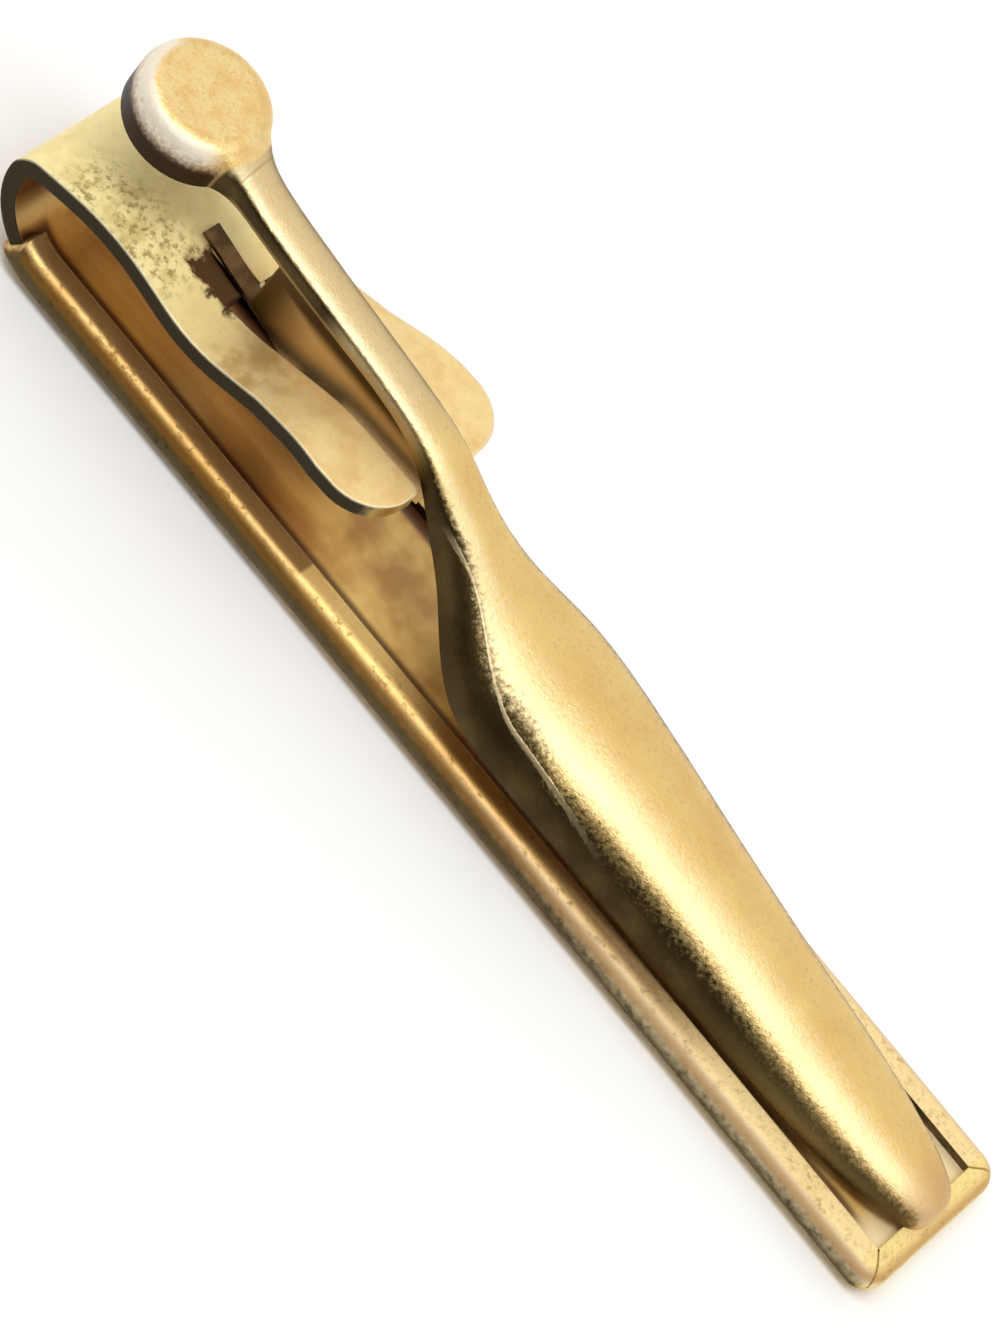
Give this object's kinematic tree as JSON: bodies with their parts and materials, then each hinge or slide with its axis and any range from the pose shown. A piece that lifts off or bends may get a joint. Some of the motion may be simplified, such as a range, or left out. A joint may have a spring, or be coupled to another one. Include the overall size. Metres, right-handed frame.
{
  "type": "tie clip",
  "caption": "Slim tie clip: a hemmed front bar bent into a spring bow, with a pivoted thumb lever whose domed jaw grips a tie against the bar.",
  "frame": {"origin": "centre of the bounding box in plan, on the plain front face that the clip lies on", "axes": "+X along the bar from the U-bend to the jaw's tip, +Y across the bar, +Z from the front face up to the thumb button"},
  "size_m": [0.055, 0.0088, 0.0117],
  "materials": {
    "gold_plate": "worn gold plating",
    "satin_gold": "satin gold plating",
    "steel_pin": "plain",
    "spring_steel": "plain"
  },
  "bodies": {
    "root": {"front_bar": "gold_plate", "bow": "gold_plate", "pivot_pin": "steel_pin", "leaf_spring": "spring_steel"},
    "lever": {"lever": "satin_gold"}
  },
  "joints": [
    {"name": "lever_pivot", "type": "hinge", "parent": "root", "child": "lever", "pos_m": [-0.01315, 0, 0.0056], "axis": [0, -1, 0], "range_deg": [0, 12], "stiffness_Nm_per_rad": 0.05, "springref_deg": -20.05, "deforming": ["leaf_spring"]}
  ]
}
